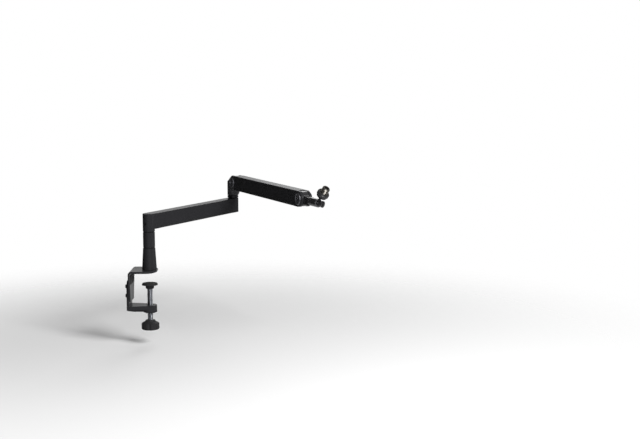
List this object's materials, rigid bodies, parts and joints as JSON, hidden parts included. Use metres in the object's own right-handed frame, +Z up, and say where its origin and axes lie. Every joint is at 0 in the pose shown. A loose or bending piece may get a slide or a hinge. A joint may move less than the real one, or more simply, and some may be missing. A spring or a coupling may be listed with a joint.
{
  "type": "microphone boom arm",
  "caption": "Low-profile desk-clamp boom arm: flat swivelling lower beam, tilting upper beam with cable channels, and a lockable ball head with a microphone thread.",
  "frame": {"origin": "on the post axis, on the underside of the pad that rests on the desk top", "axes": "+Z up along the post; +X from the desk edge inwards; +Y along the desk edge, away from the viewer"},
  "size_m": [0.4357, 0.4609, 0.3245],
  "materials": {
    "coated_metal": "matte black powder coat with a fine orange-peel grain",
    "black_plastic": "moulded black plastic with a fine spark-eroded grain",
    "bearing_plastic": "plain black acetal",
    "steel": "zinc-plated, turned",
    "thread_metal": "nickel-plated, turned",
    "pad_rubber": "matte"
  },
  "bodies": {
    "clamp": {"clamp_bracket": "coated_metal", "clamp_jaw": "coated_metal", "jaw_bolts": "steel", "thread_bush": "bearing_plastic", "top_pad": "pad_rubber", "back_pad": "pad_rubber", "base_screws": "steel", "base_post": "coated_metal", "riser_seat": "bearing_plastic", "riser": "coated_metal", "swivel_washer": "bearing_plastic", "pivot_shaft": "steel"},
    "clamp_foot": {"foot_rubber": "pad_rubber", "clamp_foot": "coated_metal"},
    "clamp_screw": {"clamp_spindle": "steel", "clamp_knob": "black_plastic", "knob_cap": "black_plastic"},
    "lower_arm": {"lower_beam": "coated_metal", "lower_cover": "black_plastic", "root_bush": "bearing_plastic", "root_screw": "steel", "elbow_bush": "bearing_plastic", "elbow_seat": "bearing_plastic", "elbow_ring": "coated_metal", "elbow_plug": "black_plastic"},
    "elbow": {"elbow_yoke": "coated_metal", "elbow_washer": "bearing_plastic", "elbow_pin": "steel", "elbow_nut": "steel", "elbow_spring": "steel", "elbow_bolt": "steel", "elbow_bolt_nut": "steel", "elbow_cap_near": "black_plastic", "elbow_cap_far": "black_plastic"},
    "upper_arm": {"upper_beam": "coated_metal", "upper_cover": "black_plastic", "elbow_tongue": "coated_metal", "elbow_tongue_bush": "bearing_plastic", "elbow_friction_washers": "bearing_plastic", "end_fork": "coated_metal", "plug_pins": "steel", "fork_bolt": "steel", "fork_bolt_nut": "steel", "fork_cap_near": "black_plastic", "fork_cap_far": "black_plastic"},
    "knuckle": {"head_knuckle": "coated_metal", "knuckle_bush": "bearing_plastic", "knuckle_washers": "bearing_plastic", "roll_pin": "steel"},
    "head": {"head_housing": "coated_metal", "socket_bezel": "coated_metal", "ball_seat": "bearing_plastic"},
    "lock_knob": {"lock_knob": "black_plastic", "lock_screw": "steel"},
    "stud": {"ball_stud": "coated_metal", "thread_adapter": "thread_metal"},
    "lock_ring": {"lock_ring": "coated_metal", "ring_pad": "pad_rubber"}
  },
  "joints": [
    {"name": "clamp_travel", "type": "slide", "parent": "clamp", "child": "clamp_foot", "axis": [0, 0, 1], "range_m": [-0.035, 0.015]},
    {"name": "clamp_screw_spin", "type": "hinge", "parent": "clamp_foot", "child": "clamp_screw", "pos_m": [0, 0, -0.06], "axis": [0, 0, 1], "continuous": true},
    {"name": "base_swivel", "type": "hinge", "parent": "clamp", "child": "lower_arm", "pos_m": [0, 0, 0.0923], "axis": [0, 0, 1], "continuous": true},
    {"name": "elbow_swivel", "type": "hinge", "parent": "lower_arm", "child": "elbow", "pos_m": [0.1591, 0.30048, 0.132], "axis": [0, 0, 1], "continuous": true},
    {"name": "elbow_tilt", "type": "hinge", "parent": "elbow", "child": "upper_arm", "pos_m": [0.17025, 0.27699, 0.1643], "axis": [-0.9033, -0.4289, 0], "range_deg": [-15, 60]},
    {"name": "head_tilt", "type": "hinge", "parent": "upper_arm", "child": "knuckle", "pos_m": [0.3311, -0.06176, 0.1643], "axis": [-0.9033, -0.4289, 0], "range_deg": [-90, 90]},
    {"name": "head_roll", "type": "hinge", "parent": "knuckle", "child": "head", "pos_m": [0.35255, -0.10692, 0.1623], "axis": [0.4289, -0.9033, 0], "continuous": true},
    {"name": "lock_knob_spin", "type": "hinge", "parent": "head", "child": "lock_knob", "pos_m": [0.36005, -0.12273, 0.1623], "axis": [0.8683, 0.4123, -0.2756], "continuous": true},
    {"name": "stud_tilt", "type": "hinge", "parent": "head", "child": "stud", "pos_m": [0.36005, -0.12273, 0.1623], "axis": [-0.8683, -0.4123, 0.2756], "range_deg": [-79, 36]},
    {"name": "lock_ring_spin", "type": "hinge", "parent": "stud", "child": "lock_ring", "pos_m": [0.37139, -0.13362, 0.18174], "axis": [0.4536, -0.4353, 0.7777], "continuous": true}
  ],
  "couplings": [
    {"joint": "clamp_screw_spin", "follows": "clamp_travel", "rad_per_m": 3141.6}
  ]
}
